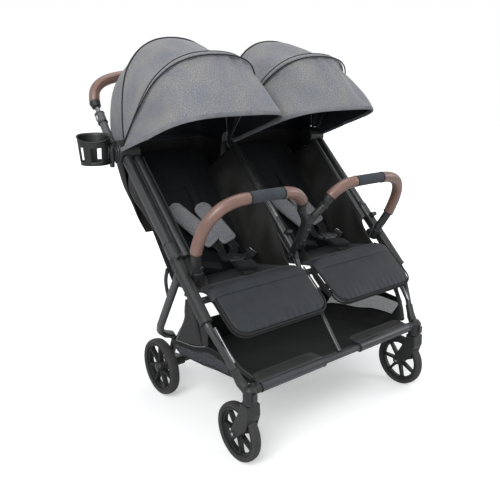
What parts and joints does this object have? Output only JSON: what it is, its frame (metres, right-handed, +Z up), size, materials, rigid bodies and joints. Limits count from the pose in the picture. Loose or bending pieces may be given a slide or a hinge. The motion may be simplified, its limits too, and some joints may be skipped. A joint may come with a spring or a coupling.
{
  "type": "double stroller",
  "caption": "Side-by-side folding pushchair: two reclining seats under hooded canopies on one tubular frame with castors, a push handle, leather bumper bars and a cup holder",
  "frame": {"origin": "middle of the footprint on the floor", "axes": "+Z up, the children look along -Y, +X is the seated child's left, where no cup holder hangs"},
  "size_m": [0.8681, 0.716, 1.038],
  "materials": {
    "leg_sleeve_left": "matt moulded plastic",
    "leg_sleeve_right": "matt moulded plastic",
    "front_leg_left": "matt charcoal paint",
    "front_leg_right": "matt charcoal paint",
    "centre_leg": "matt charcoal paint",
    "castor_bracket_left": "matt moulded plastic",
    "castor_bracket_right": "matt moulded plastic",
    "front_cross_tube": "matt charcoal paint",
    "footrest_left": "matt moulded plastic",
    "footrest_right": "matt moulded plastic",
    "seat_pan_left": "black woven cloth",
    "seat_pan_right": "black woven cloth",
    "seat_rail": "matt charcoal paint",
    "basket": "black woven cloth",
    "harness_left": "matt moulded plastic",
    "harness_right": "matt moulded plastic",
    "main_tube_left": "matt charcoal paint",
    "main_tube_right": "matt charcoal paint",
    "centre_tube": "matt charcoal paint",
    "inner_tube_left": "matt charcoal paint",
    "inner_tube_right": "matt charcoal paint",
    "hub_left": "matt moulded plastic",
    "hub_right": "matt moulded plastic",
    "handle_post_left": "matt moulded plastic",
    "handle_post_right": "matt moulded plastic",
    "side_wing_left": "black woven cloth",
    "side_wing_right": "black woven cloth",
    "centre_wing": "black woven cloth",
    "canopy_rear_left": "grey melange cloth",
    "canopy_rear_right": "grey melange cloth",
    "rear_leg_left": "matt charcoal paint",
    "rear_leg_right": "matt charcoal paint",
    "rear_axle": "matt charcoal paint",
    "brake_pedal": "matt moulded plastic",
    "bumper_bar_left": "brown stitched leatherette",
    "bumper_bar_right": "brown stitched leatherette",
    "bar_mount": "matt moulded plastic",
    "handle_bar": "matt charcoal paint",
    "handle_grip": "brown stitched leatherette",
    "cup_holder": "matt moulded plastic",
    "castor_fork_left": "matt moulded plastic",
    "front_tyre_left": "foam-filled rubber",
    "front_rim_left": "matt moulded plastic",
    "rear_tyre_left": "foam-filled rubber",
    "rear_rim_left": "matt moulded plastic",
    "swivel_lock_left": "bright steel",
    "calf_rest_left": "black woven cloth",
    "backrest_left": "black woven cloth",
    "canopy_mid_left": "grey melange cloth",
    "canopy_front_left": "grey melange cloth",
    "castor_fork_right": "matt moulded plastic",
    "front_tyre_right": "foam-filled rubber",
    "front_rim_right": "matt moulded plastic",
    "rear_tyre_right": "foam-filled rubber",
    "rear_rim_right": "matt moulded plastic",
    "swivel_lock_right": "bright steel",
    "calf_rest_right": "black woven cloth",
    "backrest_right": "black woven cloth",
    "canopy_mid_right": "grey melange cloth",
    "canopy_front_right": "grey melange cloth"
  },
  "bodies": {
    "lower_frame": {"leg_sleeve_left": "leg_sleeve_left", "leg_sleeve_right": "leg_sleeve_right", "front_leg_left": "front_leg_left", "front_leg_right": "front_leg_right", "centre_leg": "centre_leg", "castor_bracket_left": "castor_bracket_left", "castor_bracket_right": "castor_bracket_right", "front_cross_tube": "front_cross_tube", "footrest_left": "footrest_left", "footrest_right": "footrest_right", "seat_pan_left": "seat_pan_left", "seat_pan_right": "seat_pan_right", "seat_rail": "seat_rail", "basket": "basket", "harness_left": "harness_left", "harness_right": "harness_right"},
    "upper_frame": {"main_tube_left": "main_tube_left", "main_tube_right": "main_tube_right", "centre_tube": "centre_tube", "inner_tube_left": "inner_tube_left", "inner_tube_right": "inner_tube_right", "hub_left": "hub_left", "hub_right": "hub_right", "handle_post_left": "handle_post_left", "handle_post_right": "handle_post_right", "side_wing_left": "side_wing_left", "side_wing_right": "side_wing_right", "centre_wing": "centre_wing", "canopy_rear_left": "canopy_rear_left", "canopy_rear_right": "canopy_rear_right"},
    "rear_frame": {"rear_leg_left": "rear_leg_left", "rear_leg_right": "rear_leg_right", "rear_axle": "rear_axle"},
    "brake": {"brake_pedal": "brake_pedal"},
    "bumper_bars": {"bumper_bar_left": "bumper_bar_left", "bumper_bar_right": "bumper_bar_right", "bar_mount": "bar_mount"},
    "handle": {"handle_bar": "handle_bar", "handle_grip": "handle_grip"},
    "cup": {"cup_holder": "cup_holder"},
    "castor_left": {"castor_fork_left": "castor_fork_left"},
    "front_wheel_left": {"front_tyre_left": "front_tyre_left", "front_rim_left": "front_rim_left"},
    "rear_wheel_left": {"rear_tyre_left": "rear_tyre_left", "rear_rim_left": "rear_rim_left"},
    "lock_left": {"swivel_lock_left": "swivel_lock_left"},
    "calf_left": {"calf_rest_left": "calf_rest_left"},
    "back_left": {"backrest_left": "backrest_left"},
    "mid_bow_left": {"canopy_mid_left": "canopy_mid_left"},
    "front_bow_left": {"canopy_front_left": "canopy_front_left"},
    "castor_right": {"castor_fork_right": "castor_fork_right"},
    "front_wheel_right": {"front_tyre_right": "front_tyre_right", "front_rim_right": "front_rim_right"},
    "rear_wheel_right": {"rear_tyre_right": "rear_tyre_right", "rear_rim_right": "rear_rim_right"},
    "lock_right": {"swivel_lock_right": "swivel_lock_right"},
    "calf_right": {"calf_rest_right": "calf_rest_right"},
    "back_right": {"backrest_right": "backrest_right"},
    "mid_bow_right": {"canopy_mid_right": "canopy_mid_right"},
    "front_bow_right": {"canopy_front_right": "canopy_front_right"}
  },
  "joints": [
    {"name": "fold", "type": "hinge", "parent": "lower_frame", "child": "upper_frame", "pos_m": [0.0474, -0.09745, 0.50734], "axis": [1, 0, 0], "range_deg": [0, 144], "deforming": ["canopy_rear_left", "canopy_rear_right", "canopy_mid_left", "canopy_mid_right", "canopy_front_left", "canopy_front_right"]},
    {"name": "bar_fold", "type": "hinge", "parent": "lower_frame", "child": "bumper_bars", "pos_m": [0.0474, -0.127, 0.447], "axis": [1, 0, 0], "range_deg": [0, 62.5]},
    {"name": "rear_leg_fold", "type": "hinge", "parent": "lower_frame", "child": "rear_frame", "pos_m": [0.0474, -0.0865, 0.44494], "axis": [1, 0, 0], "range_deg": [-31.5, 0]},
    {"name": "castor_swivel_left", "type": "hinge", "parent": "lower_frame", "child": "castor_left", "pos_m": [-0.2706, -0.325, 0.18], "axis": [0, 0, 1], "continuous": true},
    {"name": "castor_swivel_right", "type": "hinge", "parent": "lower_frame", "child": "castor_right", "pos_m": [0.3654, -0.325, 0.18], "axis": [0, 0, 1], "continuous": true},
    {"name": "front_wheel_spin_left", "type": "hinge", "parent": "castor_left", "child": "front_wheel_left", "pos_m": [-0.2706, -0.28, 0.078], "axis": [1, 0, 0], "continuous": true},
    {"name": "front_wheel_spin_right", "type": "hinge", "parent": "castor_right", "child": "front_wheel_right", "pos_m": [0.3654, -0.28, 0.078], "axis": [1, 0, 0], "continuous": true},
    {"name": "rear_wheel_spin_left", "type": "hinge", "parent": "rear_frame", "child": "rear_wheel_left", "pos_m": [-0.2596, 0.128, 0.0865], "axis": [1, 0, 0], "continuous": true},
    {"name": "rear_wheel_spin_right", "type": "hinge", "parent": "rear_frame", "child": "rear_wheel_right", "pos_m": [0.3544, 0.128, 0.0865], "axis": [1, 0, 0], "continuous": true},
    {"name": "swivel_lock_press_left", "type": "hinge", "parent": "lower_frame", "child": "lock_left", "pos_m": [-0.2706, -0.3451, 0.21], "axis": [1, 0, 0], "range_deg": [-25, 0]},
    {"name": "swivel_lock_press_right", "type": "hinge", "parent": "lower_frame", "child": "lock_right", "pos_m": [0.3654, -0.3451, 0.21], "axis": [1, 0, 0], "range_deg": [-25, 0]},
    {"name": "brake_press", "type": "hinge", "parent": "rear_frame", "child": "brake", "pos_m": [-0.1976, 0.128, 0.0865], "axis": [1, 0, 0], "range_deg": [-20, 0]},
    {"name": "backrest_recline_left", "type": "hinge", "parent": "upper_frame", "child": "back_left", "pos_m": [-0.1321, 0.0232, 0.3919], "axis": [1, 0, 0], "range_deg": [-35, 0]},
    {"name": "backrest_recline_right", "type": "hinge", "parent": "upper_frame", "child": "back_right", "pos_m": [0.2269, 0.0232, 0.3919], "axis": [1, 0, 0], "range_deg": [-35, 0]},
    {"name": "calf_rest_tilt_left", "type": "hinge", "parent": "lower_frame", "child": "calf_left", "pos_m": [-0.1321, -0.183, 0.418], "axis": [1, 0, 0], "range_deg": [-36, 12]},
    {"name": "calf_rest_tilt_right", "type": "hinge", "parent": "lower_frame", "child": "calf_right", "pos_m": [0.2269, -0.183, 0.418], "axis": [1, 0, 0], "range_deg": [-36, 12]},
    {"name": "canopy_open_left", "type": "hinge", "parent": "upper_frame", "child": "front_bow_left", "pos_m": [-0.1326, 0.18802, 0.73502], "axis": [1, 0, 0], "range_deg": [-66, 0]},
    {"name": "canopy_open_right", "type": "hinge", "parent": "upper_frame", "child": "front_bow_right", "pos_m": [0.2274, 0.18802, 0.73502], "axis": [1, 0, 0], "range_deg": [-66, 0]},
    {"name": "canopy_mid_open_left", "type": "hinge", "parent": "upper_frame", "child": "mid_bow_left", "pos_m": [-0.1326, 0.18802, 0.73502], "axis": [1, 0, 0], "range_deg": [-30, 0]},
    {"name": "canopy_mid_open_right", "type": "hinge", "parent": "upper_frame", "child": "mid_bow_right", "pos_m": [0.2274, 0.18802, 0.73502], "axis": [1, 0, 0], "range_deg": [-30, 0]},
    {"name": "handle_height", "type": "slide", "parent": "upper_frame", "child": "handle", "axis": [0, 0.6494, 0.7604], "range_m": [0, 0.06]},
    {"name": "cup_holder_lift", "type": "slide", "parent": "upper_frame", "child": "cup", "axis": [0, 0, 1], "range_m": [0, 0.035]}
  ],
  "couplings": [
    {"joint": "bar_fold", "follows": "fold", "ratio": 0.43},
    {"joint": "rear_leg_fold", "follows": "fold", "ratio": -0.2166},
    {"joint": "canopy_mid_open_left", "follows": "canopy_open_left", "ratio": 0.45},
    {"joint": "canopy_mid_open_right", "follows": "canopy_open_right", "ratio": 0.45}
  ]
}
